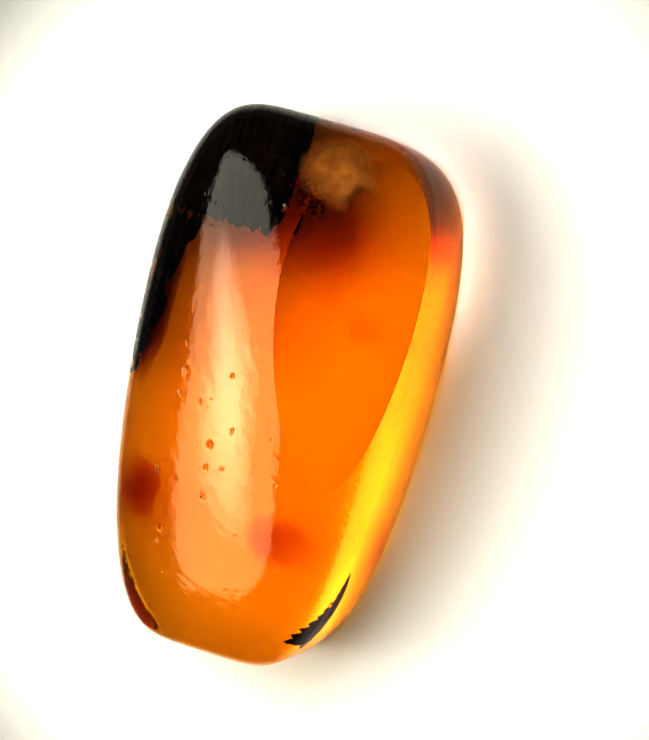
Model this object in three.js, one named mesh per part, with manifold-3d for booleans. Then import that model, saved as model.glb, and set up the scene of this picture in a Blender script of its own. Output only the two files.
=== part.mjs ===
// A polished amber pebble with plant debris sealed inside, lying on its flat base.
// Millimetres, +Z up. +Y runs to the thick, dark end. The origin is the middle of the base.
// The clear stone is parted below its girdle, so that every piece of debris has a pocket that
// opens on the parting face.
import * as THREE from "three";
import { mergeVertices } from "three/addons/utils/BufferGeometryUtils.js";
import Module from "manifold-3d";

const wasm = await Module();
wasm.setup();

const pebble = {
  halfLength: 14.05,
  halfWidth: 7.92,
  height: 8.5, // middle of the crown
  wedge: 0.1, // share by which the crown rises toward the thick end
  girdleHeight: 4.5, // height of the widest line
  partingHeight: 3,
  baseShare: 0.92, // flat base against the girdle
  girdleSquareness: 5.1, // superellipse power: 2 is an ellipse
  crownSquareness: 2,
  taper: 0.09, // wider toward the thick end
  endTuck: 0.19, // narrower at both ends
  bow: 0.14, // how far the long axis bends
  ridgeShift: 2.5, // how far the crown leans toward +X
  endShift: 0.02,
  endSlope: 0.3, // the ends run askew to the sides
};
const outlineSteps = 72;
const sideSteps = 6;
const crownSteps = 14;
const partingGap = 0.3; // between the halves, and about every inclusion at least
const pocketGrowth = 0.42; // what a half size gains to leave that gap on sloping faces

const bark = {
  splinters: 9,
  left: -6.25,
  right: -1.9,
  halfWidth: 0.55,
  tipLine: 12.4, // where the upper tips end
  rootLine: 6.8, // where the lower tips end
  depth: 2.9, // height of the middle above the base
  halfThickness: 2.3,
};
const strip = {
  splinters: 4,
  start: new THREE.Vector3(-6.35, 4.5, 3.3),
  end: new THREE.Vector3(-6.75, 0.4, 3.3),
  halfWidth: 0.75,
  halfLength: 1.9,
  halfThickness: 1.4,
};
const scale = {
  centre: new THREE.Vector3(2.6, 11.35, 5.85),
  halfWidth: 1.75,
  halfLength: 2.1,
  halfThickness: 0.25,
  endTilt: THREE.MathUtils.degToRad(-31),
  sideTilt: THREE.MathUtils.degToRad(8),
};
const sliver = {
  bendCentre: new THREE.Vector2(-0.2, -7.4),
  bendRadius: 5.65,
  startAngle: THREE.MathUtils.degToRad(-50),
  length: 4.6,
  halfWidth: 0.48,
  thickness: 0.5,
  teeth: 10,
  toothDepth: 0.16,
  depth: 2.75,
};
const lumps = [
  { name: "humus_clump", centre: [1.3, 9.1, 4.2], halfSize: [2.0, 2.5, 2.1], turn: -0.05, detail: 3 },
  { name: "wood_crumb_right", centre: [4.1, 4.2, 2.9], halfSize: [1.1, 0.7, 0.4], turn: 0.4, detail: 1 },
  { name: "wood_crumb_left", centre: [-5.2, -6.7, 2.9], halfSize: [1.0, 1.4, 0.5], turn: 0.2, detail: 1 },
  { name: "wood_crumb_low", centre: [2.4, -6.9, 2.9], halfSize: [1.2, 0.9, 0.4], turn: -0.5, detail: 1 },
];

const finish = {
  amber: new THREE.MeshStandardMaterial({ color: 0xd9730f, roughness: 0.08, metalness: 0 }),
  bark: new THREE.MeshStandardMaterial({ color: 0x2a1a10, roughness: 0.85, metalness: 0 }),
  scale: new THREE.MeshStandardMaterial({ color: 0x8a6238, roughness: 0.6, metalness: 0 }),
  leaf: new THREE.MeshStandardMaterial({ color: 0x3a2014, roughness: 0.7, metalness: 0 }),
  crumb: new THREE.MeshStandardMaterial({ color: 0x5c2a12, roughness: 0.8, metalness: 0 }),
};

// A closed geometry as a solid that can be cut and joined.
function solidOf(geometry) {
  const bare = geometry.clone();
  bare.deleteAttribute("normal");
  bare.deleteAttribute("uv");
  const merged = mergeVertices(bare, 1e-4);
  return new wasm.Manifold(
    new wasm.Mesh({
      numProp: 3,
      vertProperties: new Float32Array(merged.attributes.position.array),
      triVerts: new Uint32Array(merged.index.array),
    }),
  );
}

function meshOf(name, solid, material) {
  const { vertProperties, triVerts } = solid.getMesh();
  const geometry = new THREE.BufferGeometry();
  geometry.setAttribute("position", new THREE.BufferAttribute(vertProperties, 3));
  geometry.setIndex(new THREE.BufferAttribute(triVerts, 1));
  const flat = geometry.toNonIndexed();
  flat.computeVertexNormals();
  const mesh = new THREE.Mesh(flat, material);
  mesh.name = name;
  return mesh;
}

const joined = (solids) => solids.reduce((whole, next) => whole.add(next));
const signedPower = (value, power) => Math.sign(value) * Math.abs(value) ** power;

// Moves each point of a turned form of radius 1 and level -1 to 1 onto the pebble.
function pebbleSurface(point) {
  const turn = Math.atan2(point.y, point.x);
  const share = Math.hypot(point.x, point.y);
  const rise = Math.max(point.z, 0);
  const squareness = THREE.MathUtils.lerp(pebble.girdleSquareness, pebble.crownSquareness, rise);
  const across = share * signedPower(Math.cos(turn), 2 / squareness);
  const along = share * signedPower(Math.sin(turn), 2 / squareness);
  const crown = pebble.height * (1 + pebble.wedge * along) - pebble.girdleHeight;
  const lean = pebble.ridgeShift * rise ** 2;
  const narrowing = 1 + pebble.taper * along - pebble.endTuck * along ** 2;
  return new THREE.Vector3(
    pebble.halfWidth * across * narrowing + pebble.bow * (along ** 2 - 0.5) + lean,
    pebble.halfLength * along + (pebble.endShift - pebble.endSlope * along) * across,
    pebble.girdleHeight * (1 + Math.min(point.z, 0)) + crown * rise,
  );
}

function pebbleGeometry() {
  const profile = [new THREE.Vector2(0, -1), new THREE.Vector2(pebble.baseShare / 2, -1)];
  for (let step = 0; step <= sideSteps; step++) {
    const angle = (step / sideSteps) * (Math.PI / 2);
    const share = THREE.MathUtils.lerp(pebble.baseShare, 1, Math.sin(angle));
    profile.push(new THREE.Vector2(share, step === sideSteps ? 0 : -Math.cos(angle)));
  }
  for (let step = 1; step <= crownSteps; step++) {
    const angle = (step / crownSteps) * (Math.PI / 2);
    profile.push(new THREE.Vector2(step === crownSteps ? 0 : Math.cos(angle), Math.sin(angle)));
  }
  const geometry = new THREE.LatheGeometry(profile, outlineSteps).rotateX(Math.PI / 2);
  const position = geometry.attributes.position;
  const point = new THREE.Vector3();
  for (let i = 0; i < position.count; i++) {
    point.fromBufferAttribute(position, i);
    position.setXYZ(i, ...pebbleSurface(point));
  }
  return geometry;
}

// One splinter: a seven-sided spindle, blunt at its root and pointed at its tip.
function splinterGeometry(halfWidth, halfLength, halfThickness, growth) {
  const spindle = [
    [0, -1],
    [0.6, -0.86],
    [1, -0.4],
    [0.95, 0.3],
    [0.5, 0.82],
    [0, 1],
  ].map(([radius, level]) => new THREE.Vector2(radius, level));
  return new THREE.LatheGeometry(spindle, 7).scale(
    halfWidth + growth,
    halfLength + growth,
    halfThickness + growth,
  );
}

// The large fragment: splinters side by side, their ends ragged at both lines.
function barkSolid(growth) {
  const splinters = [];
  for (let i = 0; i < bark.splinters; i++) {
    const share = i / (bark.splinters - 1);
    const fromFlank = Math.sin((Math.PI / 2) * Math.min(1, 0.25 + 1.5 * share));
    const tip = bark.tipLine - 2 * (1 - fromFlank) + 0.3 * Math.sin(5.1 * i);
    const root = bark.rootLine + 0.45 * Math.sin(2.3 * i + 1) + 0.3 * Math.cos(4.7 * i);
    const halfThickness = bark.halfThickness * (0.35 + 0.65 * fromFlank) + 0.15 * Math.sin(3.3 * i);
    const geometry = splinterGeometry(bark.halfWidth, (tip - root) / 2, halfThickness, growth)
      .rotateY(0.18 * Math.sin(2.1 * i))
      .rotateZ(0.05 * Math.sin(1.7 * i))
      .translate(
        THREE.MathUtils.lerp(bark.left, bark.right, share),
        (tip + root) / 2,
        bark.depth + 0.2 * Math.sin(2.9 * i),
      );
    splinters.push(solidOf(geometry));
  }
  return joined(splinters);
}

// The narrow strip that trails from the fragment along the flank.
function stripSolid(growth) {
  const splinters = [];
  for (let i = 0; i < strip.splinters; i++) {
    const share = i / (strip.splinters - 1);
    const thinning = 1 - 0.45 * share;
    const centre = strip.start.clone().lerp(strip.end, share);
    const geometry = splinterGeometry(
      strip.halfWidth * thinning,
      strip.halfLength,
      strip.halfThickness * thinning,
      growth,
    );
    geometry.rotateZ(Math.PI + 0.06 * Math.sin(2 * i)).translate(...centre);
    splinters.push(solidOf(geometry));
  }
  return joined(splinters);
}

// A bud scale, level with the skin of the crown where it falls off to the thick end.
function scaleSolid(growth) {
  const geometry = new THREE.SphereGeometry(1, 20, 10).scale(
    scale.halfWidth + growth,
    scale.halfLength + growth,
    scale.halfThickness + growth,
  );
  geometry.rotateX(scale.endTilt).rotateY(scale.sideTilt).translate(...scale.centre);
  return solidOf(geometry);
}

// A sliver of leaf bent round an arc, smooth on its outer edge and toothed on its inner one.
function sliverSolid(growth) {
  const outline = new THREE.Shape();
  const length = sliver.length + 2 * growth;
  const steps = 2 * sliver.teeth;
  const bulge = (share) => (sliver.halfWidth + growth) * Math.sin(Math.PI * share) ** 0.6;
  outline.moveTo(0, 0);
  for (let i = 1; i < steps; i++) outline.lineTo((length * i) / steps, -bulge(i / steps));
  outline.lineTo(length, 0);
  for (let i = steps - 1; i > 0; i--) {
    const notch = i % 2 && !growth ? sliver.toothDepth : 0;
    outline.lineTo((length * i) / steps, bulge(i / steps) - notch);
  }
  outline.closePath();
  const depth = sliver.thickness + 2 * growth;
  const geometry = new THREE.ExtrudeGeometry(outline, { depth, bevelEnabled: false });
  const position = geometry.attributes.position;
  for (let i = 0; i < position.count; i++) {
    const angle = sliver.startAngle + (position.getX(i) - growth) / sliver.bendRadius;
    const radius = sliver.bendRadius - position.getY(i);
    const x = sliver.bendCentre.x + radius * Math.cos(angle);
    const y = sliver.bendCentre.y + radius * Math.sin(angle);
    position.setXYZ(i, x, y, position.getZ(i) - growth + sliver.depth);
  }
  return solidOf(geometry);
}

// A rounded lump with low swells all over.
function lumpSolid({ centre, halfSize, turn, detail }, growth) {
  const geometry = new THREE.IcosahedronGeometry(1, detail);
  const position = geometry.attributes.position;
  const point = new THREE.Vector3();
  for (let i = 0; i < position.count; i++) {
    point.fromBufferAttribute(position, i);
    const swell = 1 + 0.07 * Math.sin(4 * point.x + 3 * point.z) * Math.cos(5 * point.y);
    const half = new THREE.Vector3(...halfSize).multiplyScalar(swell).addScalar(growth);
    position.setXYZ(i, ...point.multiply(half));
  }
  return solidOf(geometry.rotateZ(turn).translate(...centre));
}

// A slab that takes in everything above or below a level.
function slab(bottom, top) {
  const geometry = new THREE.BoxGeometry(60, 60, top - bottom);
  return solidOf(geometry.translate(0, 0, (top + bottom) / 2));
}

const inclusions = [
  { name: "bark_fragment", make: barkSolid, material: finish.bark },
  { name: "bark_strip", make: stripSolid, material: finish.bark },
  { name: "bud_scale", make: scaleSolid, material: finish.scale },
  { name: "leaf_sliver", make: sliverSolid, material: finish.leaf },
  ...lumps.map((lump) => ({
    name: lump.name,
    make: (growth) => lumpSolid(lump, growth),
    material: finish.crumb,
  })),
];

const stoneGeometry = pebbleGeometry();
stoneGeometry.computeBoundingBox();
const middle = stoneGeometry.boundingBox.getCenter(new THREE.Vector3());
const pockets = joined(inclusions.map(({ make }) => make(pocketGrowth)));
const stone = solidOf(stoneGeometry).subtract(pockets);
const ceiling = 2 * pebble.height;
const upper = stone.intersect(slab(pebble.partingHeight + partingGap / 2, ceiling));
const lower = stone.intersect(slab(-1, pebble.partingHeight - partingGap / 2));

const group = new THREE.Group();
group.position.set(-middle.x, -middle.y, 0);
group.add(meshOf("amber_upper", upper, finish.amber));
group.add(meshOf("amber_lower", lower, finish.amber));
for (const { name, make, material } of inclusions) group.add(meshOf(name, make(0), material));

export default group;
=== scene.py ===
import math
import random

import bmesh
import bpy
import numpy as np
from mathutils import Matrix, Vector, noise
from mathutils.bvhtree import BVHTree


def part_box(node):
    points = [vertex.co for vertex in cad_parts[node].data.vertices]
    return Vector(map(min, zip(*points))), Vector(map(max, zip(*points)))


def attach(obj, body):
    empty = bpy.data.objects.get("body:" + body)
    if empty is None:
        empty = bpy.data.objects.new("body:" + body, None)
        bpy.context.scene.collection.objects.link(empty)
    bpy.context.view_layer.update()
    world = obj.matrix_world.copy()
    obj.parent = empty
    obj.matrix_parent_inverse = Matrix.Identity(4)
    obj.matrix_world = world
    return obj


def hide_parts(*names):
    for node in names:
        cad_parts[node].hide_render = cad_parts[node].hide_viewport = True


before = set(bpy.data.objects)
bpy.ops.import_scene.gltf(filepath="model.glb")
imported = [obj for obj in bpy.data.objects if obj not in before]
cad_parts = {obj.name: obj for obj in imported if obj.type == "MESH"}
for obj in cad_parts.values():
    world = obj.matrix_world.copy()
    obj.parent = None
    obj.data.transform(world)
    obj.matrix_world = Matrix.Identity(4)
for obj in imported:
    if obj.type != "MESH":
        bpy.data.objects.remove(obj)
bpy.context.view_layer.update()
mm = 0.001
skinGap = 0.1 * mm  # how far the inclusions stay under the stone's skin
socketKinds = {float: "NodeSocketFloat", int: "NodeSocketInt", tuple: "NodeSocketVector"}


# An sRGB hex colour as linear light.
def linearColour(code):
    channels = [int(code[i:i + 2], 16) / 255 for i in (1, 3, 5)]
    linear = [c / 12.92 if c <= 0.04045 else ((c + 0.055) / 1.055) ** 2.4 for c in channels]
    return tuple(linear) + (1.0,)


# Adds a node with its settings. An input is a number, a socket, or a node, which stands for its
# first output.
def addNode(tree, kind, inputs=(), **settings):
    node = tree.nodes.new(kind)
    for name, value in settings.items():
        setattr(node, name, value)
    pairs = inputs.items() if isinstance(inputs, dict) else enumerate(inputs)
    for key, value in pairs:
        if isinstance(value, bpy.types.Node):
            value = value.outputs[0]
        if isinstance(value, bpy.types.NodeSocket):
            tree.links.new(value, node.inputs[key])
        elif value is not None:
            node.inputs[key].default_value = value
    return node


def newMaterial(name, **values):
    material = bpy.data.materials.new(name)
    material.use_nodes = True
    shader = material.node_tree.nodes["Principled BSDF"]
    for key, value in values.items():
        shader.inputs[key.replace("_", " ")].default_value = value
    return material, material.node_tree, shader


# Fills a see-through piece with colour: how much red, green and blue it takes away in a millimetre.
def addAbsorption(tree, perMillimetre):
    strongest = max(perMillimetre)
    colour = tuple(1 - value / strongest for value in perMillimetre) + (1.0,)
    volume = addNode(tree, "ShaderNodeVolumeAbsorption", {"Color": colour, "Density": strongest / mm})
    tree.links.new(volume.outputs["Volume"], tree.nodes["Material Output"].inputs["Volume"])


# A Geometry Nodes tree with one named input for each value.
def newTree(name, values):
    tree = bpy.data.node_groups.new(name, "GeometryNodeTree")
    tree.interface.new_socket("Geometry", in_out="OUTPUT", socket_type="NodeSocketGeometry")
    for key, value in values.items():
        isMaterial = isinstance(value, bpy.types.Material)
        kind = "NodeSocketMaterial" if isMaterial else socketKinds[type(value)]
        tree.interface.new_socket(key, in_out="INPUT", socket_type=kind)
    return tree, addNode(tree, "NodeGroupInput").outputs


# Runs a tree with the values and keeps what it makes as a plain mesh.
def growMesh(tree, values):
    holder = bpy.data.objects.new(tree.name, bpy.data.meshes.new(tree.name))
    bpy.context.scene.collection.objects.link(holder)
    modifier = holder.modifiers.new("nodes", "NODES")
    modifier.node_group = tree
    for item in tree.interface.items_tree:
        if item.in_out == "INPUT":
            modifier[item.identifier] = values[item.name]
    evaluated = holder.evaluated_get(bpy.context.evaluated_depsgraph_get())
    mesh = bpy.data.meshes.new_from_object(evaluated)
    bpy.data.objects.remove(holder)
    return mesh


# Puts a mesh in the scene as a piece of the stone, in place of its CAD nodes.
def addPiece(name, mesh, slot, *nodes):
    piece = bpy.data.objects.new(name, mesh)
    bpy.context.scene.collection.objects.link(piece)
    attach(piece, "root")
    if nodes:
        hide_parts(*nodes)
    print(name, len(mesh.polygons), "faces")


# Baltic amber: fossil resin, ground to a pebble and polished by hand. It is clear orange, mirrors
# the lamp with a wavy, slightly pitted edge, and turns yellow where it is thin. The base is only
# ground, so it is matt and spreads the light that falls through the stone. Absorption is in red,
# green and blue a millimetre.
amber = {
    "ior": 1.54,
    "absorption": (0.001, 0.07, 0.55),
    "rippleLength": 0.6 * mm,
    "rippleHeight": 0.014 * mm,
    "groundRoughness": 0.42,
    "groundTop": 0.1 * mm,
}


def makeAmber():
    material, tree, shader = newMaterial("baltic_amber", Roughness=0.0, Transmission_Weight=1.0)
    shader.inputs["Base Color"].default_value = (1, 1, 1, 1)
    shader.inputs["IOR"].default_value = amber["ior"]
    addAbsorption(tree, amber["absorption"])
    place = addNode(tree, "ShaderNodeTexCoord").outputs["Object"]
    rippleScale = 1 / amber["rippleLength"]
    polish = addNode(tree, "ShaderNodeTexNoise", {"Vector": place, "Scale": rippleScale, "Detail": 4.0})
    relief = {"Height": polish, "Distance": amber["rippleHeight"], "Strength": 1.0}
    bump = addNode(tree, "ShaderNodeBump", relief)
    tree.links.new(bump.outputs["Normal"], shader.inputs["Normal"])
    level = addNode(tree, "ShaderNodeSeparateXYZ", [place]).outputs["Z"]
    limits = [level, 0.2 * amber["groundTop"], amber["groundTop"], amber["groundRoughness"], 0.0]
    ground = addNode(tree, "ShaderNodeMapRange", limits)
    tree.links.new(ground.outputs["Result"], shader.inputs["Roughness"])
    return material


# The pebble's shape, in millimetres and in shares of its half sizes.
stone = {
    "halfLength": 14.05,
    "halfWidth": 7.92,
    "height": 8.5,
    "wedge": 0.1,
    "girdleHeight": 4.5,
    "baseShare": 0.92,
    "girdleSquareness": 5.1,
    "crownSquareness": 2.0,
    "taper": 0.09,
    "endTuck": 0.19,
    "bow": 0.14,
    "ridgeShift": 2.5,
    "endShift": 0.02,
    "endSlope": 0.3,
    "turnSteps": 561,
    "profileSteps": 157,
    "baseEnd": 0.03,  # where along the profile's steps the base and the side end
    "sideEnd": 0.17,
    "swell": 0.012,
    "swellLength": 2.4,
    "ripple": 0.0022,
    "rippleLength": 0.8,
    "material": makeAmber(),
}


# A grid wound round the stone from the middle of the base, up the side, to the crown.
def stoneTree():
    tree, given = newTree("stone", stone)
    grid = addNode(tree, "GeometryNodeMeshGrid", [1.0, 1.0, given["turnSteps"], given["profileSteps"]])
    corner = addNode(tree, "ShaderNodeSeparateXYZ", [addNode(tree, "GeometryNodeInputPosition")])
    turn = addNode(tree, "ShaderNodeMath", [corner.outputs["X"], math.tau], operation="MULTIPLY")
    up = addNode(tree, "ShaderNodeMath", [corner.outputs["Y"], 0.5], operation="ADD")
    quarter = math.pi / 2
    base = addNode(tree, "ShaderNodeMapRange", [up, 0.0, given["baseEnd"], 0.0, given["baseShare"]])
    side = addNode(tree, "ShaderNodeMapRange", [up, given["baseEnd"], given["sideEnd"], 0.0, quarter])
    crown = addNode(tree, "ShaderNodeMapRange", [up, given["sideEnd"], 1.0, 0.0, quarter])
    rest = addNode(tree, "ShaderNodeMath", [1.0, given["baseShare"]], operation="SUBTRACT")
    bulge = addNode(tree, "ShaderNodeMath", [side], operation="SINE")
    widest = addNode(tree, "ShaderNodeMath", [rest, bulge, base], operation="MULTIPLY_ADD")
    closing = addNode(tree, "ShaderNodeMath", [crown], operation="COSINE")
    share = addNode(tree, "ShaderNodeMath", [widest, closing], operation="MULTIPLY")
    rise = addNode(tree, "ShaderNodeMath", [crown], operation="SINE")

    # Each level is a superellipse, square at the girdle and round at the crown.
    squareness = addNode(
        tree, "ShaderNodeMapRange", [rise, 0.0, 1.0, given["girdleSquareness"], given["crownSquareness"]]
    )
    cosine = addNode(tree, "ShaderNodeMath", [turn], operation="COSINE")
    sine = addNode(tree, "ShaderNodeMath", [turn], operation="SINE")
    cosineSize = addNode(tree, "ShaderNodeMath", [cosine], operation="ABSOLUTE")
    sineSize = addNode(tree, "ShaderNodeMath", [sine], operation="ABSOLUTE")
    cosinePower = addNode(tree, "ShaderNodeMath", [cosineSize, squareness], operation="POWER")
    sinePower = addNode(tree, "ShaderNodeMath", [sineSize, squareness], operation="POWER")
    total = addNode(tree, "ShaderNodeMath", [cosinePower, sinePower], operation="ADD")
    root = addNode(tree, "ShaderNodeMath", [-1.0, squareness], operation="DIVIDE")
    radius = addNode(tree, "ShaderNodeMath", [total, root], operation="POWER")
    reach = addNode(tree, "ShaderNodeMath", [share, radius], operation="MULTIPLY")
    across = addNode(tree, "ShaderNodeMath", [reach, cosine], operation="MULTIPLY")
    along = addNode(tree, "ShaderNodeMath", [reach, sine], operation="MULTIPLY")
    alongSquare = addNode(tree, "ShaderNodeMath", [along, along], operation="MULTIPLY")

    taper = addNode(tree, "ShaderNodeMath", [given["taper"], along, 1.0], operation="MULTIPLY_ADD")
    tuck = addNode(tree, "ShaderNodeMath", [given["endTuck"], alongSquare], operation="MULTIPLY")
    narrowing = addNode(tree, "ShaderNodeMath", [taper, tuck], operation="SUBTRACT")
    width = addNode(tree, "ShaderNodeMath", [given["halfWidth"], narrowing], operation="MULTIPLY")
    fromMiddle = addNode(tree, "ShaderNodeMath", [alongSquare, 0.5], operation="SUBTRACT")
    bow = addNode(tree, "ShaderNodeMath", [given["bow"], fromMiddle], operation="MULTIPLY")
    riseSquare = addNode(tree, "ShaderNodeMath", [rise, rise], operation="MULTIPLY")
    lean = addNode(tree, "ShaderNodeMath", [given["ridgeShift"], riseSquare, bow], operation="MULTIPLY_ADD")
    x = addNode(tree, "ShaderNodeMath", [width, across, lean], operation="MULTIPLY_ADD")

    slope = addNode(tree, "ShaderNodeMath", [given["endSlope"], along], operation="MULTIPLY")
    skew = addNode(tree, "ShaderNodeMath", [given["endShift"], slope], operation="SUBTRACT")
    skewed = addNode(tree, "ShaderNodeMath", [skew, across], operation="MULTIPLY")
    y = addNode(tree, "ShaderNodeMath", [given["halfLength"], along, skewed], operation="MULTIPLY_ADD")

    wedge = addNode(tree, "ShaderNodeMath", [given["wedge"], along, 1.0], operation="MULTIPLY_ADD")
    top = addNode(tree, "ShaderNodeMath", [given["height"], wedge], operation="MULTIPLY")
    crownHeight = addNode(tree, "ShaderNodeMath", [top, given["girdleHeight"]], operation="SUBTRACT")
    sideDrop = addNode(tree, "ShaderNodeMath", [side], operation="COSINE")
    sideRise = addNode(tree, "ShaderNodeMath", [1.0, sideDrop], operation="SUBTRACT")
    girdle = addNode(tree, "ShaderNodeMath", [given["girdleHeight"], sideRise], operation="MULTIPLY")
    z = addNode(tree, "ShaderNodeMath", [crownHeight, rise, girdle], operation="MULTIPLY_ADD")
    place = addNode(tree, "ShaderNodeCombineXYZ", [x, y, z])
    placed = addNode(tree, "ShaderNodeVectorMath", {"Vector": place, "Scale": mm}, operation="SCALE")
    wound = addNode(tree, "GeometryNodeSetPosition", {"Geometry": grid, "Position": placed})
    closed = addNode(tree, "GeometryNodeMergeByDistance", {"Geometry": wound, "Distance": 0.00001 * mm})

    # The middle of its outline comes to the origin.
    box = addNode(tree, "GeometryNodeBoundBox", [closed])
    ends = addNode(tree, "ShaderNodeVectorMath", [box.outputs["Min"], box.outputs["Max"]], operation="ADD")
    centre = addNode(tree, "ShaderNodeVectorMath", [ends, (-0.5, -0.5, 0.0)], operation="MULTIPLY")
    centred = addNode(tree, "GeometryNodeSetPosition", {"Geometry": closed, "Offset": centre})

    # Hand polishing leaves broad swells and a fine ripple. The flat base has none.
    height = addNode(tree, "ShaderNodeSeparateXYZ", [addNode(tree, "GeometryNodeInputPosition")])
    offBase = addNode(tree, "ShaderNodeMapRange", [height.outputs["Z"], 0.2 * mm, 2.5 * mm, 0.0, mm])
    swellScale = addNode(tree, "ShaderNodeMath", [1 / mm, given["swellLength"]], operation="DIVIDE")
    rippleScale = addNode(tree, "ShaderNodeMath", [1 / mm, given["rippleLength"]], operation="DIVIDE")
    swell = addNode(tree, "ShaderNodeTexNoise", {"Scale": swellScale, "Detail": 0.0})
    ripple = addNode(tree, "ShaderNodeTexNoise", {"Scale": rippleScale, "Detail": 1.0})
    swellRise = addNode(tree, "ShaderNodeMath", [swell, 0.5], operation="SUBTRACT")
    rippleRise = addNode(tree, "ShaderNodeMath", [ripple, 0.5], operation="SUBTRACT")
    swellSize = addNode(tree, "ShaderNodeMath", [swellRise, given["swell"]], operation="MULTIPLY")
    relief = addNode(
        tree, "ShaderNodeMath", [rippleRise, given["ripple"], swellSize], operation="MULTIPLY_ADD"
    )
    lift = addNode(tree, "ShaderNodeMath", [relief, offBase], operation="MULTIPLY")
    normal = addNode(tree, "GeometryNodeInputNormal")
    offset = addNode(tree, "ShaderNodeVectorMath", {"Vector": normal, "Scale": lift}, operation="SCALE")
    polished = addNode(tree, "GeometryNodeSetPosition", {"Geometry": centred, "Offset": offset})
    smooth = addNode(tree, "GeometryNodeSetShadeSmooth", [polished])
    real = addNode(tree, "GeometryNodeRealizeInstances", [smooth])
    painted = addNode(tree, "GeometryNodeSetMaterial", {"Geometry": real, "Material": given["material"]})
    addNode(tree, "NodeGroupOutput", [painted])
    return tree


wear = {
    # x, y, radius and depth of small polishing pits on the crown, in millimetres
    "pits": [
        (-2.7, 0.2, 0.34, 0.08),
        (-2.8, -0.9, 0.2, 0.05),
        (-3.0, 1.6, 0.18, 0.04),
        (0.3, 0.8, 0.18, 0.05),
        (-1.4, -1.0, 0.16, 0.04),
        (0.9, -1.8, 0.14, 0.03),
        (-0.3, -2.9, 0.28, 0.07),
        (-0.3, -4.1, 0.22, 0.05),
        (-0.2, -5.6, 0.2, 0.05),
        (0.7, -3.9, 0.14, 0.03),
        (-3.4, -5.1, 0.24, 0.08),
        (-2.6, -8.0, 0.26, 0.1),
        (-2.7, -8.7, 0.22, 0.08),
        (0.6, 9.4, 0.24, 0.07),
    ],
    "randomPits": 70,
    "randomRadius": (0.05, 0.13),
    "randomDepth": 0.14,  # of its radius
    "randomReach": 0.95,  # of the stone's half sizes
    "seed": 5,
    "refine": 3,
    "refineMargin": 0.15,
    "castFrom": 20,  # well above the crown
}


def pitStone(mesh):
    random.seed(wear["seed"])
    pits = list(wear["pits"])
    for _ in range(wear["randomPits"]):
        angle = random.uniform(0, math.tau)
        reach = math.sqrt(random.random()) * wear["randomReach"]
        radius = random.uniform(*wear["randomRadius"])
        x = stone["halfWidth"] * reach * math.cos(angle)
        y = stone["halfLength"] * reach * math.sin(angle)
        pits.append((x, y, radius, radius * wear["randomDepth"]))
    found = []
    for x, y, radius, depth in pits:
        above = Vector((x, y, wear["castFrom"])) * mm
        spot, normal, _, _ = stoneWall.ray_cast(above, Vector((0, 0, -1)))
        if spot is not None:
            found.append((np.array(spot), np.array(normal), radius * mm, depth * mm))

    # The mesh is finer round a pit, so that its rim is round.
    places = np.array([v.co for v in mesh.vertices])
    near = np.zeros(len(places), bool)
    for spot, _, radius, _ in found:
        near |= np.linalg.norm(places - spot, axis=1) < radius + wear["refineMargin"] * mm
    work = bmesh.new()
    work.from_mesh(mesh)
    edges = [e for e in work.edges if near[e.verts[0].index] and near[e.verts[1].index]]
    bmesh.ops.subdivide_edges(work, edges=edges, cuts=wear["refine"], use_grid_fill=True)
    bmesh.ops.triangulate(work, faces=[f for f in work.faces if len(f.verts) > 4])
    work.to_mesh(mesh)
    work.free()
    places = np.array([v.co for v in mesh.vertices])
    sunk = places.copy()
    for spot, normal, radius, depth in found:
        share = np.minimum(np.linalg.norm(places - spot, axis=1) / radius, 1)
        sunk -= normal * depth * ((1 - share ** 2) ** 2)[:, None]
    mesh.vertices.foreach_set("co", sunk.ravel())
    mesh.update()
    mesh.shade_smooth()


stoneMesh = growMesh(stoneTree(), stone)
stonePoints = [v.co.copy() for v in stoneMesh.vertices]
stoneWall = BVHTree.FromPolygons(stonePoints, [p.vertices for p in stoneMesh.polygons])
pitStone(stoneMesh)
addPiece("amber", stoneMesh, "amber", "amber_upper", "amber_lower")


# Moves a mesh's points that come too near the stone's skin, or through it, back inside.
def keepInside(mesh, margin):
    for vertex in mesh.vertices:
        spot, normal, _, _ = stoneWall.find_nearest(vertex.co)
        depth = (spot - vertex.co).dot(normal)
        if depth < margin:
            vertex.co = spot - normal * margin
    mesh.update()


# Decayed bark and wood: blackened by the resin, dull, with a fibrous grain along the splinters.
def makeBark():
    material, tree, shader = newMaterial("fossil_bark", Roughness=0.85, Specular_IOR_Level=0.15)
    place = addNode(tree, "ShaderNodeTexCoord").outputs["Object"]
    grain = addNode(tree, "ShaderNodeMapping", {"Vector": place, "Scale": (1, 0.2, 1)})
    fibre = addNode(tree, "ShaderNodeTexNoise", {"Vector": grain, "Scale": 1 / (0.3 * mm), "Detail": 4.0})
    colours = addNode(tree, "ShaderNodeValToRGB", [fibre])
    colours.color_ramp.elements[0].color = linearColour("#120a07")
    colours.color_ramp.elements[1].color = linearColour("#3b2417")
    colours.color_ramp.elements[0].position = 0.35
    colours.color_ramp.elements[1].position = 0.75
    bump = addNode(tree, "ShaderNodeBump", {"Height": fibre, "Distance": 0.03 * mm, "Strength": 0.8})
    tree.links.new(colours.outputs["Color"], shader.inputs["Base Color"])
    tree.links.new(bump.outputs["Normal"], shader.inputs["Normal"])
    return material


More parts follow.
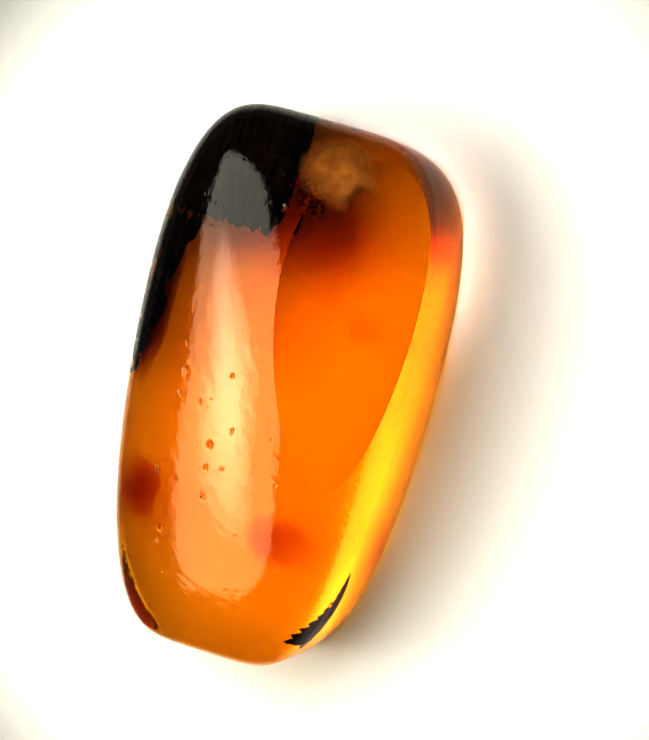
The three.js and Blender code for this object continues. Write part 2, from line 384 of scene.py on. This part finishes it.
# Splinters: tapered rods laid side by side in a box, all leaning one way and gently waved.
def splinterTree(values):
    tree, given = newTree("splinters", values)
    spot = addNode(
        tree,
        "FunctionNodeRandomValue",
        {0: given["low"], 1: given["high"], "Seed": given["seed"]},
        data_type="FLOAT_VECTOR",
    )
    spots = addNode(tree, "GeometryNodePoints", {"Count": given["count"], "Position": spot})
    line = addNode(tree, "GeometryNodeCurvePrimitiveLine", {"Start": (0, -0.5, 0), "End": (0, 0.5, 0)})
    rod = addNode(tree, "GeometryNodeResampleCurve", {"Curve": line, "Count": 7})
    factor = addNode(tree, "GeometryNodeSplineParameter")
    toMiddle = addNode(tree, "ShaderNodeMath", [factor.outputs["Factor"], 0.5], operation="SUBTRACT")
    size = addNode(tree, "ShaderNodeMath", [toMiddle], operation="ABSOLUTE")
    cubed = addNode(tree, "ShaderNodeMath", [size, 3.0], operation="POWER")
    taper = addNode(tree, "ShaderNodeMath", [cubed, -7.2, 1.0], operation="MULTIPLY_ADD")
    profile = addNode(tree, "GeometryNodeCurvePrimitiveCircle", {"Resolution": 5, "Radius": 1.0})
    splinter = addNode(
        tree,
        "GeometryNodeCurveToMesh",
        {"Curve": rod, "Profile Curve": profile, "Scale": taper, "Fill Caps": True},
    )
    lean = addNode(
        tree,
        "FunctionNodeRandomValue",
        {0: given["leanLow"], 1: given["leanHigh"], "Seed": given["seed"]},
        data_type="FLOAT_VECTOR",
    )
    turned = addNode(tree, "FunctionNodeEulerToRotation", [lean])
    sizes = addNode(
        tree,
        "FunctionNodeRandomValue",
        {0: given["sizeLow"], 1: given["sizeHigh"], "Seed": given["seed"]},
        data_type="FLOAT_VECTOR",
    )
    laid = addNode(
        tree,
        "GeometryNodeInstanceOnPoints",
        {"Points": spots, "Instance": splinter, "Rotation": turned, "Scale": sizes},
    )
    real = addNode(tree, "GeometryNodeRealizeInstances", [laid])
    wave = addNode(tree, "ShaderNodeTexNoise", {"Scale": given["waveScale"], "Detail": 1.0})
    middle = [wave.outputs["Color"], (0.5, 0.5, 0.5)]
    sway = addNode(tree, "ShaderNodeVectorMath", middle, operation="SUBTRACT")
    sized = {"Vector": sway, "Scale": given["wave"]}
    offset = addNode(tree, "ShaderNodeVectorMath", sized, operation="SCALE")
    waved = addNode(tree, "GeometryNodeSetPosition", {"Geometry": real, "Offset": offset})
    smooth = addNode(tree, "GeometryNodeSetShadeSmooth", [waved])
    painted = addNode(tree, "GeometryNodeSetMaterial", {"Geometry": smooth, "Material": given["material"]})
    addNode(tree, "NodeGroupOutput", [painted])
    return tree


# Fills a node's box with splinters. The piece narrows toward its thin end by its taper.
def layBark(node, values):
    low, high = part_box(node)
    low = low + Vector(values["lowShift"]) * mm
    high = high + Vector(values["highShift"]) * mm
    values = dict(values, low=tuple(low), high=tuple(high), waveScale=1 / (values["waveLength"] * mm))
    for key in ("sizeLow", "sizeHigh"):
        values[key] = tuple(size * mm for size in values[key])
    values["wave"] = values["wave"] * mm
    mesh = growMesh(splinterTree(values), values)
    for vertex in mesh.vertices:
        share = (vertex.co.y - low.y) / (high.y - low.y)
        narrowing = 1 - values["taper"] * (1 - min(max(share, 0.0), 1.0))
        vertex.co.x = low.x + (vertex.co.x - low.x) * narrowing
    keepInside(mesh, values["margin"] * mm)
    addPiece(node, mesh, "bark", node)


# Sizes are in millimetres. The shifts move the corners of the node's box.
bark = {
    "count": 460,
    "sizeLow": (0.12, 1.4, 0.12),
    "sizeHigh": (0.42, 3.4, 0.5),
    "leanLow": (-0.12, -0.5, -0.14),
    "leanHigh": (0.12, 0.5, 0.14),
    "wave": 0.5,
    "waveLength": 1.5,
    "taper": 0.0,
    "seed": 3,
    "margin": 0.12,
    "lowShift": (-0.6, 2.0, 2.4),
    "highShift": (0.3, -0.3, -0.1),
    "material": makeBark(),
}
strip = {
    "count": 130,
    "sizeLow": (0.06, 0.8, 0.1),
    "sizeHigh": (0.22, 2.0, 0.4),
    "leanLow": (-0.12, -0.5, -0.14),
    "leanHigh": (0.12, 0.5, 0.14),
    "wave": 0.5,
    "waveLength": 1.5,
    "taper": 0.75,
    "seed": 8,
    "margin": 0.4,
    "lowShift": (-0.2, 0.5, -0.6),
    "highShift": (0.2, 0.4, 0.0),
    "material": bark["material"],
}
layBark("bark_fragment", bark)
layBark("bark_strip", strip)


# Decayed plant matter that has stained the resin: reddish, see-through where it is thin, with the
# same index as the amber round it, so that only its colour shows.
def makeStain(name, perMillimetre):
    material, tree, shader = newMaterial(
        name, Roughness=0.0, IOR=1.0, Transmission_Weight=1.0, Specular_IOR_Level=0.0
    )
    shader.inputs["Base Color"].default_value = (1, 1, 1, 1)
    addAbsorption(tree, perMillimetre)
    return material


# A flattened lump whose rim thins out to nothing, the more so the higher its feather.
def softLump(material, centre, halfSize, feather, turn, seed):
    work = bmesh.new()
    bmesh.ops.create_icosphere(work, subdivisions=5, radius=1.0)
    mesh = bpy.data.meshes.new("lump")
    work.to_mesh(mesh)
    work.free()
    turned = Matrix.Rotation(turn, 4, "Z")
    for vertex in mesh.vertices:
        point = vertex.co.copy()
        swell = 1 + 0.3 * noise.noise(point * 1.4 + Vector((seed, 0, 0)))
        ragged = 1 + 0.1 * noise.noise(point * 5 + Vector((0, seed, 0)))
        point.z = math.copysign(abs(point.z) ** feather, point.z)
        point = Vector(p * half for p, half in zip(point * swell * ragged, halfSize))
        vertex.co = centre + turned @ point
    mesh.materials.append(material)
    mesh.shade_smooth()
    return mesh


# The resin is stained round the bark too: soft red-brown clouds, thickest over the bark itself.
# Their places and half sizes are in millimetres.
barkStains = {
    "bark_stain": {
        "centre": (-3.4, 9.9, 4.2),
        "halfSize": (3.8, 4.2, 1.4),
        "stain": (0.22, 0.5, 0.8),
        "feather": 1.8,
        "turn": 0.0,
        "seed": 31,
    },
    "strip_stain": {
        "centre": (-6.2, 3.6, 3.6),
        "halfSize": (0.9, 5.0, 2.2),
        "stain": (0.5, 0.9, 1.1),
        "feather": 1.8,
        "turn": -0.06,
        "seed": 32,
    },
}
for name, values in barkStains.items():
    material = makeStain(name, values["stain"])
    centre = Vector(values["centre"]) * mm
    half = Vector(values["halfSize"]) * mm
    mesh = softLump(material, centre, half, values["feather"], values["turn"], values["seed"])
    keepInside(mesh, skinGap)
    addPiece(name, mesh, "bark")


# Fine crumbs, thick in the middle of a lump and thinning toward its rim.
def crumbTree(values):
    tree, given = newTree("crumbs", values)
    way = addNode(
        tree,
        "FunctionNodeRandomValue",
        {0: (-1, -1, -1), 1: (1, 1, 1), "Seed": given["seed"]},
        data_type="FLOAT_VECTOR",
    )
    unit = addNode(tree, "ShaderNodeVectorMath", [way], operation="NORMALIZE")
    draw = addNode(
        tree, "FunctionNodeRandomValue", {2: 0.0, 3: 1.0, "Seed": given["reachSeed"]}, data_type="FLOAT"
    )
    reach = addNode(tree, "ShaderNodeMath", [draw.outputs[1], given["gather"]], operation="POWER")
    inside = addNode(tree, "ShaderNodeVectorMath", {"Vector": unit, "Scale": reach}, operation="SCALE")
    spot = addNode(
        tree,
        "ShaderNodeVectorMath",
        [inside, given["halfSize"], given["centre"]],
        operation="MULTIPLY_ADD",
    )
    spots = addNode(tree, "GeometryNodePoints", {"Count": given["count"], "Position": spot})
    crumb = addNode(tree, "GeometryNodeMeshIcoSphere", {"Radius": 1.0, "Subdivisions": 2})
    turn = addNode(
        tree,
        "FunctionNodeRandomValue",
        {0: (0, 0, 0), 1: (math.tau, math.tau, math.tau), "Seed": given["seed"]},
        data_type="FLOAT_VECTOR",
    )
    turned = addNode(tree, "FunctionNodeEulerToRotation", [turn])
    sizes = addNode(
        tree,
        "FunctionNodeRandomValue",
        {0: given["sizeLow"], 1: given["sizeHigh"], "Seed": given["seed"]},
        data_type="FLOAT_VECTOR",
    )
    strewn = addNode(
        tree,
        "GeometryNodeInstanceOnPoints",
        {"Points": spots, "Instance": crumb, "Rotation": turned, "Scale": sizes},
    )
    real = addNode(tree, "GeometryNodeRealizeInstances", [strewn])
    wave = addNode(tree, "ShaderNodeTexNoise", {"Scale": given["roughScale"], "Detail": 1.0})
    middle = [wave.outputs["Color"], (0.5, 0.5, 0.5)]
    sway = addNode(tree, "ShaderNodeVectorMath", middle, operation="SUBTRACT")
    sized = {"Vector": sway, "Scale": given["rough"]}
    offset = addNode(tree, "ShaderNodeVectorMath", sized, operation="SCALE")
    rough = addNode(tree, "GeometryNodeSetPosition", {"Geometry": real, "Offset": offset})
    painted = addNode(tree, "GeometryNodeSetMaterial", {"Geometry": rough, "Material": given["material"]})
    addNode(tree, "NodeGroupOutput", [painted])
    return tree


# Humus: dark red-brown crumbs of rotted leaf and wood.
def makeHumus():
    material, tree, shader = newMaterial("humus", Roughness=0.8, Specular_IOR_Level=0.1)
    place = addNode(tree, "ShaderNodeTexCoord").outputs["Object"]
    mottle = addNode(tree, "ShaderNodeTexNoise", {"Vector": place, "Scale": 1 / (0.4 * mm), "Detail": 3.0})
    colours = addNode(tree, "ShaderNodeValToRGB", [mottle])
    colours.color_ramp.elements[0].color = linearColour("#5a1c0a")
    colours.color_ramp.elements[1].color = linearColour("#a85424")
    colours.color_ramp.elements[0].position = 0.35
    colours.color_ramp.elements[1].position = 0.7
    tree.links.new(colours.outputs["Color"], shader.inputs["Base Color"])
    return material


clump = {
    "count": 120,
    "gather": 0.9,
    "sizeLow": (0.03 * mm, 0.04 * mm, 0.02 * mm),
    "sizeHigh": (0.08 * mm, 0.12 * mm, 0.06 * mm),
    "seed": 11,
    "reachSeed": 12,
    "roughScale": 1 / (0.2 * mm),
    "rough": 0.08 * mm,
    "material": makeHumus(),
}

# Shifts from the middle of the node's box, and the share of it that the crumbs fill.
clumpPlace = {"shift": (-0.3, -0.3, 0), "crumbShift": (-0.8, 0.9, 0), "crumbShare": 0.45}
low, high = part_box("humus_clump")
clumpCentre = (low + high) / 2 + Vector(clumpPlace["shift"]) * mm
clumpHalf = (high - low) / 2
crumbCentre = clumpCentre + Vector(clumpPlace["crumbShift"]) * mm
clump["centre"] = tuple(crumbCentre)
clump["halfSize"] = tuple(clumpHalf * clumpPlace["crumbShare"])
crumbs = growMesh(crumbTree(clump), clump)
keepInside(crumbs, skinGap)
addPiece("humus_clump", crumbs, "humus", "humus_clump")

# The stain round the crumbs, in red, green and blue a millimetre: a dense core and a wider rim.
humusStains = {
    "humus_stain_core": {"stain": (0.035, 0.1, 0.17), "feather": 2.0, "grow": 1.0, "seed": 4},
    "humus_stain_rim": {"stain": (0.04, 0.1, 0.17), "feather": 2.2, "grow": 1.5, "seed": 5},
}
for name, values in humusStains.items():
    material = makeStain(name, values["stain"])
    half = clumpHalf * values["grow"]
    mesh = softLump(material, clumpCentre, half, values["feather"], 0.0, values["seed"])
    keepInside(mesh, skinGap)
    addPiece(name, mesh, "humus")


# A bud scale: a thin pale brown husk with fine ribs, decayed so far that its rim fades into the
# resin. It lies just under the skin, so it keeps more of its own colour than the deeper pieces.
def makeScale():
    material, tree, shader = newMaterial("bud_scale", Roughness=0.6, Specular_IOR_Level=0.2)
    place = addNode(tree, "ShaderNodeTexCoord").outputs["Object"]
    mottle = addNode(tree, "ShaderNodeTexNoise", {"Vector": place, "Scale": 1 / (0.8 * mm), "Detail": 3.0})
    colours = addNode(tree, "ShaderNodeValToRGB", [mottle])
    colours.color_ramp.elements[0].color = linearColour("#b87c44")
    colours.color_ramp.elements[1].color = linearColour("#eab878")
    colours.color_ramp.elements[0].position = 0.3
    colours.color_ramp.elements[1].position = 0.7
    tree.links.new(colours.outputs["Color"], shader.inputs["Base Color"])
    reach = addNode(tree, "ShaderNodeAttribute", attribute_name="reach").outputs["Fac"]
    decay = addNode(tree, "ShaderNodeMath", [mottle, 0.25, reach], operation="MULTIPLY_ADD")
    cover = addNode(tree, "ShaderNodeMapRange", [decay, 0.45, 1.1, 0.9, 0.0])
    tree.links.new(cover.outputs["Result"], shader.inputs["Alpha"])
    return material


# Sizes and the depth under the stone's skin are in millimetres.
budScale = {
    "rings": 30,
    "turns": 84,
    "halfWidth": 2.1,
    "halfLength": 2.7,
    "taper": 0.25,
    "turn": 0.95,
    "depth": 0.45,
    "cup": 0.3,
    "rag": 0.05,
    "ribs": 17,
    "ribHeight": 0.048,
    "thickness": 0.1,
    "material": makeScale(),
}


# Two sheets that follow the stone's skin and meet at the rim.
def makeBudScale():
    low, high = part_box("bud_scale")
    spot, normal, _, _ = stoneWall.find_nearest((low + high) / 2)
    sideways = Vector((0, 1, 0)).cross(normal).normalized()
    across = Matrix.Rotation(budScale["turn"], 3, normal) @ sideways
    along = normal.cross(across)
    work = bmesh.new()
    reach = work.verts.layers.float.new("reach")
    sheets = []
    for side in (1, -1):
        rings = []
        for i in range(budScale["rings"] + 1):
            share = max(i / budScale["rings"], 0.001)
            ring = []
            for j in range(budScale["turns"]):
                angle = math.tau * j / budScale["turns"]
                around = Vector((2 * math.cos(angle), 2 * math.sin(angle), 2))
                rag = share * (1 + budScale["rag"] * noise.noise(around))
                width = budScale["halfWidth"] * (1 + budScale["taper"] * math.sin(angle))
                offset = across * width * math.cos(angle) * rag
                offset += along * budScale["halfLength"] * math.sin(angle) * rag
                start = spot + (offset + normal * 3) * mm
                skin, skinNormal, _, _ = stoneWall.ray_cast(start, -normal)
                rib = budScale["ribHeight"] * math.cos(budScale["ribs"] * angle) * share * (1 - share)
                depth = budScale["depth"] + budScale["cup"] * share ** 2 - rib
                depth -= side * budScale["thickness"] * (1 - share ** 4) / 2
                vertex = work.verts.new(skin - skinNormal * depth * mm)
                vertex[reach] = share
                ring.append(vertex)
            rings.append(ring)
        sheets.append(rings)
    for rings, flip in zip(sheets, (False, True)):
        for j in range(budScale["turns"]):
            k = (j + 1) % budScale["turns"]
            for a, b in zip(rings, rings[1:]):
                face = (a[j], b[j], b[k], a[k])
                work.faces.new(reversed(face) if flip else face)
    bmesh.ops.remove_doubles(work, verts=work.verts, dist=0.01 * mm)
    bmesh.ops.recalc_face_normals(work, faces=work.faces)
    mesh = bpy.data.meshes.new("bud_scale")
    work.to_mesh(mesh)
    work.free()
    mesh.materials.append(budScale["material"])
    mesh.shade_smooth()
    return mesh


addPiece("bud_scale", makeBudScale(), "bud_scale", "bud_scale")


# A sliver of a toothed leaf, curled on edge and browned.
def makeLeaf():
    material, tree, shader = newMaterial("fossil_leaf", Roughness=0.8, Specular_IOR_Level=0.05)
    place = addNode(tree, "ShaderNodeTexCoord").outputs["Object"]
    mottle = addNode(tree, "ShaderNodeTexNoise", {"Vector": place, "Scale": 1 / (0.3 * mm), "Detail": 3.0})
    colours = addNode(tree, "ShaderNodeValToRGB", [mottle])
    colours.color_ramp.elements[0].color = linearColour("#1c0a06")
    colours.color_ramp.elements[1].color = linearColour("#3c190c")
    tree.links.new(colours.outputs["Color"], shader.inputs["Base Color"])
    return material


# In millimetres: the sliver is bent round an arc, smooth outside and toothed inside.
leaf = {
    "bendCentre": (-0.14, -7.39),
    "bendRadius": 5.65,
    "startAngle": math.radians(-50),
    "length": 4.6,
    "halfWidth": 0.48,
    "thickness": 0.5,
    "depth": 2.75,
    "teeth": 10,
    "toothDepth": 0.16,
    "shake": 0.05,
    "steps": 160,
    "material": makeLeaf(),
}


def makeLeafSliver():
    work = bmesh.new()
    rows = []
    for i in range(leaf["steps"] + 1):
        share = i / leaf["steps"]
        angle = leaf["startAngle"] + share * leaf["length"] / leaf["bendRadius"]
        bulge = leaf["halfWidth"] * max(math.sin(math.pi * share), 0.0) ** 0.6
        saw = (share * leaf["teeth"]) % 1
        inner = max(bulge - leaf["toothDepth"] * saw, 0.0)
        shake = leaf["shake"] * noise.noise(Vector((share * 30, 1, 0)))
        thick = leaf["thickness"] / 2 * max(math.sin(math.pi * share), 0.03) ** 0.5
        section = [(-bulge + shake, 0.35), (-bulge * 0.6, 1), (inner * 0.5, 0.8), (inner, 0.2)]
        section += [(inner, -0.2), (inner * 0.5, -0.8), (-bulge * 0.6, -1), (-bulge + shake, -0.35)]
        row = []
        for across, up in section:
            radius = leaf["bendRadius"] - across
            x = leaf["bendCentre"][0] + radius * math.cos(angle)
            y = leaf["bendCentre"][1] + radius * math.sin(angle)
            z = leaf["depth"] + leaf["thickness"] / 2 + thick * up
            row.append(work.verts.new(Vector((x, y, z)) * mm))
        rows.append(row)
    for a, b in zip(rows, rows[1:]):
        for j in range(8):
            k = (j + 1) % 8
            work.faces.new((a[j], a[k], b[k], b[j]))
    work.faces.new(rows[0])
    work.faces.new(list(reversed(rows[-1])))
    bmesh.ops.remove_doubles(work, verts=work.verts, dist=0.0005 * mm)
    bmesh.ops.recalc_face_normals(work, faces=work.faces)
    mesh = bpy.data.meshes.new("leaf_sliver")
    work.to_mesh(mesh)
    work.free()
    mesh.materials.append(leaf["material"])
    keepInside(mesh, skinGap)
    return mesh


addPiece("leaf_sliver", makeLeafSliver(), "leaf", "leaf_sliver")

# Crumbs of wood, soaked with resin until they are see-through and red-brown.
woodCrumbs = {
    "wood_crumb_right": {"stain": (0.06, 0.22, 0.4), "feather": 2.4, "grow": 1.3, "seed": 21},
    "wood_crumb_left": {"stain": (0.3, 1.0, 1.3), "feather": 2.2, "grow": 1.3, "seed": 22},
    "wood_crumb_low": {"stain": (0.18, 0.6, 0.9), "feather": 2.2, "grow": 1.4, "seed": 23},
}
for name, values in woodCrumbs.items():
    low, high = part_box(name)
    centre = (low + high) / 2
    half = (high - low) / 2 * values["grow"]
    material = makeStain(name + "_wood", values["stain"])
    mesh = softLump(material, centre, half, values["feather"], 0.0, values["seed"])
    keepInside(mesh, skinGap)
    addPiece(name, mesh, "wood_crumb", name)

# The roll is how far the stone lies turned from the upright of the view.
studio = {
    "roll": math.radians(15),
    "lampSquareness": 1.3,
    "windowColour": (1.0, 1.0, 0.86),
    "fillColour": (1.0, 0.98, 0.93),
    "worldColour": "#dfe9f5",
    "worldStrength": 0.06,
    "gamma": 0.6,
    "exposure": 0.3,
    "bounces": 32,
    "glossyBounces": 12,
}

# Each lamp's place in degrees round the stone and above its base, its size and distance in metres,
# the point in millimetres that it aims at, and the angle in degrees over which it spreads. The skew
# is how far its ends slide past each other, in half lengths. The softness is the share of its half
# size over which it fades. Only the window is mirrored in the polish.
lamps = {
    # a tall window, which lies slanting along the crown, and the brighter sky in its middle
    "window": {
        "azimuth": 178,
        "elevation": 47.4,
        "size": (1.5, 0.67),
        "radiance": 3.3,
        "softness": 0.12,
        "spin": -0.21,
        "skew": 0.9,
        "mirrored": True,
    },
    "window_core": {
        "azimuth": 185,
        "elevation": 45.5,
        "size": (0.56, 0.2),
        "radiance": 7.0,
        "softness": 1.0,
        "spin": 0.32,
        "mirrored": True,
    },
    # the even light of a pale room
    "skylight": {"azimuth": 90, "elevation": 50, "size": (0.8, 0.8), "radiance": 2.6, "softness": 0.6},
    "ceiling": {"azimuth": 0, "elevation": 84, "size": (1.0, 1.0), "radiance": 1.1, "softness": 0.6},
    # narrow lamps close over the crown, which light the inside and leave the card in shadow
    "snoot_left": {
        "azimuth": 0,
        "elevation": 62,
        "size": (0.022, 0.004),
        "radiance": 2.0,
        "softness": 0.6,
        "distance": 0.015,
        "aim": (-4.4, -3.0, 7),
        "spread": 60,
    },
    "snoot_middle": {
        "azimuth": 0,
        "elevation": 62,
        "size": (0.022, 0.004),
        "radiance": 1.5,
        "softness": 0.6,
        "distance": 0.03,
        "aim": (1.5, 0, 4),
        "spread": 30,
    },
    "snoot_top": {
        "azimuth": 0,
        "elevation": 62,
        "size": (0.008, 0.003),
        "radiance": 16.0,
        "softness": 0.6,
        "distance": 0.03,
        "aim": (5.2, 8.6, 7),
        "spread": 22,
    },
    # a low lamp, whose light the ground base throws into the opposite flank
    "reflector": {"azimuth": 186, "elevation": 21, "size": (0.26, 0.26), "radiance": 12.0, "softness": 1.0},
}
plainLamp = {"spin": 0.0, "skew": 0.0, "mirrored": False, "distance": 0.6, "aim": (0, 0, 0), "spread": 180}


# A softbox with a slanted, rounded outline and a soft border.
def addLamp(name, values):
    values = dict(plainLamp, **values)
    length, width = values["size"]
    skew = values["skew"]
    lamp = bpy.data.lights.new(name, "AREA")
    lamp.shape = "RECTANGLE"
    lamp.size = length
    lamp.size_y = width
    lamp.energy = math.pi * length * width
    lamp.color = studio["windowColour"] if values["mirrored"] else studio["fillColour"]
    lamp.use_nodes = True
    lamp.spread = math.radians(values["spread"])
    tree = lamp.node_tree
    across = addNode(tree, "ShaderNodeNewGeometry").outputs["Parametric"]
    spot = addNode(tree, "ShaderNodeSeparateXYZ", [across])
    reach = 1.0 + skew
    u = addNode(tree, "ShaderNodeMath", [spot.outputs["X"], 2.0 * reach, -reach], operation="MULTIPLY_ADD")
    v = addNode(tree, "ShaderNodeMath", [spot.outputs["Y"], 2.0, -1.0], operation="MULTIPLY_ADD")
    slid = addNode(tree, "ShaderNodeMath", [v, -skew, u], operation="MULTIPLY_ADD")
    uSize = addNode(tree, "ShaderNodeMath", [slid], operation="ABSOLUTE")
    vSize = addNode(tree, "ShaderNodeMath", [v], operation="ABSOLUTE")
    uPower = addNode(tree, "ShaderNodeMath", [uSize, studio["lampSquareness"]], operation="POWER")
    vPower = addNode(tree, "ShaderNodeMath", [vSize, studio["lampSquareness"]], operation="POWER")
    total = addNode(tree, "ShaderNodeMath", [uPower, vPower], operation="ADD")
    limits = [total, 1.0 - values["softness"], 1.0, values["radiance"], 0.0]
    glow = addNode(tree, "ShaderNodeMapRange", limits)
    tree.links.new(glow.outputs["Result"], tree.nodes["Emission"].inputs["Strength"])
    holder = bpy.data.objects.new(name, lamp)
    bpy.context.scene.collection.objects.link(holder)
    azimuth = math.radians(values["azimuth"]) + studio["roll"]
    elevation = math.radians(values["elevation"])
    back = Vector((math.cos(azimuth), math.sin(azimuth), 0)) * math.cos(elevation)
    back.z = math.sin(elevation)
    across = Vector((-math.sin(azimuth), math.cos(azimuth), 0))
    up = back.cross(across)
    turn = Matrix.Rotation(values["spin"], 3, "Z")
    axes = Matrix((across, up, back)).transposed() @ turn
    place = Vector(values["aim"]) * mm + back * values["distance"]
    holder.matrix_world = Matrix.Translation(place) @ axes.to_4x4()
    holder.visible_glossy = values["mirrored"]


for name, values in lamps.items():
    addLamp(name, values)

world = bpy.data.worlds.new("studio")
world.use_nodes = True
world.node_tree.nodes["Background"].inputs["Color"].default_value = linearColour(studio["worldColour"])
world.node_tree.nodes["Background"].inputs["Strength"].default_value = studio["worldStrength"]
bpy.context.scene.world = world


# Matt card, even and pale round the stone. It greys far out, where it would only show as a hard
# horizon mirrored in the polish.
card = {
    "near": "#efeeec",
    "far": "#5e5e5d",
    "evenTo": 0.02,  # metres from the stone's middle
    "greyFrom": 0.038,
    "halfSize": 1.0,
    "drop": 0.02 * mm,
}


def makeFloor():
    material, tree, shader = newMaterial("pale_card", Roughness=1.0, Specular_IOR_Level=0.0)
    place = addNode(tree, "ShaderNodeTexCoord").outputs["Object"]
    distance = addNode(tree, "ShaderNodeVectorMath", [place], operation="LENGTH").outputs["Value"]
    limits = [distance, card["evenTo"], card["greyFrom"]]
    far = addNode(tree, "ShaderNodeMapRange", limits, interpolation_type="SMOOTHSTEP")
    colours = addNode(tree, "ShaderNodeMix", {"Factor": far}, data_type="RGBA")
    colours.inputs[6].default_value = linearColour(card["near"])
    colours.inputs[7].default_value = linearColour(card["far"])
    tree.links.new(colours.outputs[2], shader.inputs["Base Color"])
    mesh = bpy.data.meshes.new("floor")
    reach = card["halfSize"]
    z = -card["drop"]
    corners = [(-reach, -reach, z), (reach, -reach, z), (reach, reach, z), (-reach, reach, z)]
    mesh.from_pydata(corners, [], [(0, 1, 2, 3)])
    mesh.materials.append(material)
    floor = bpy.data.objects.new("floor", mesh)
    bpy.context.scene.collection.objects.link(floor)


makeFloor()

view = {
    "lens": 100,
    "sensor": 36,
    "distance": 0.105,
    "tilt": math.radians(28),
    "aim": Vector((2.41, 1.66, 3.0)) * mm,
}


def addCamera():
    data = bpy.data.cameras.new("camera")
    data.lens = view["lens"]
    data.sensor_width = view["sensor"]
    camera = bpy.data.objects.new("camera", data)
    bpy.context.scene.collection.objects.link(camera)
    roll = studio["roll"]
    imageUp = Vector((-math.sin(roll), math.cos(roll), 0))
    imageRight = Vector((math.cos(roll), math.sin(roll), 0))
    back = imageRight * math.sin(view["tilt"]) + Vector((0, 0, math.cos(view["tilt"])))
    up = (imageUp - back * imageUp.dot(back)).normalized()
    across = up.cross(back)
    axes = Matrix((across, up, back)).transposed().to_4x4()
    camera.matrix_world = Matrix.Translation(view["aim"] + back * view["distance"]) @ axes
    bpy.context.scene.camera = camera


addCamera()
scene = bpy.context.scene
scene.view_settings.view_transform = "Standard"
scene.view_settings.gamma = studio["gamma"]
scene.view_settings.exposure = studio["exposure"]
scene.cycles.max_bounces = studio["bounces"]
scene.cycles.transmission_bounces = studio["bounces"]
scene.cycles.glossy_bounces = studio["glossyBounces"]
print("studio ready")
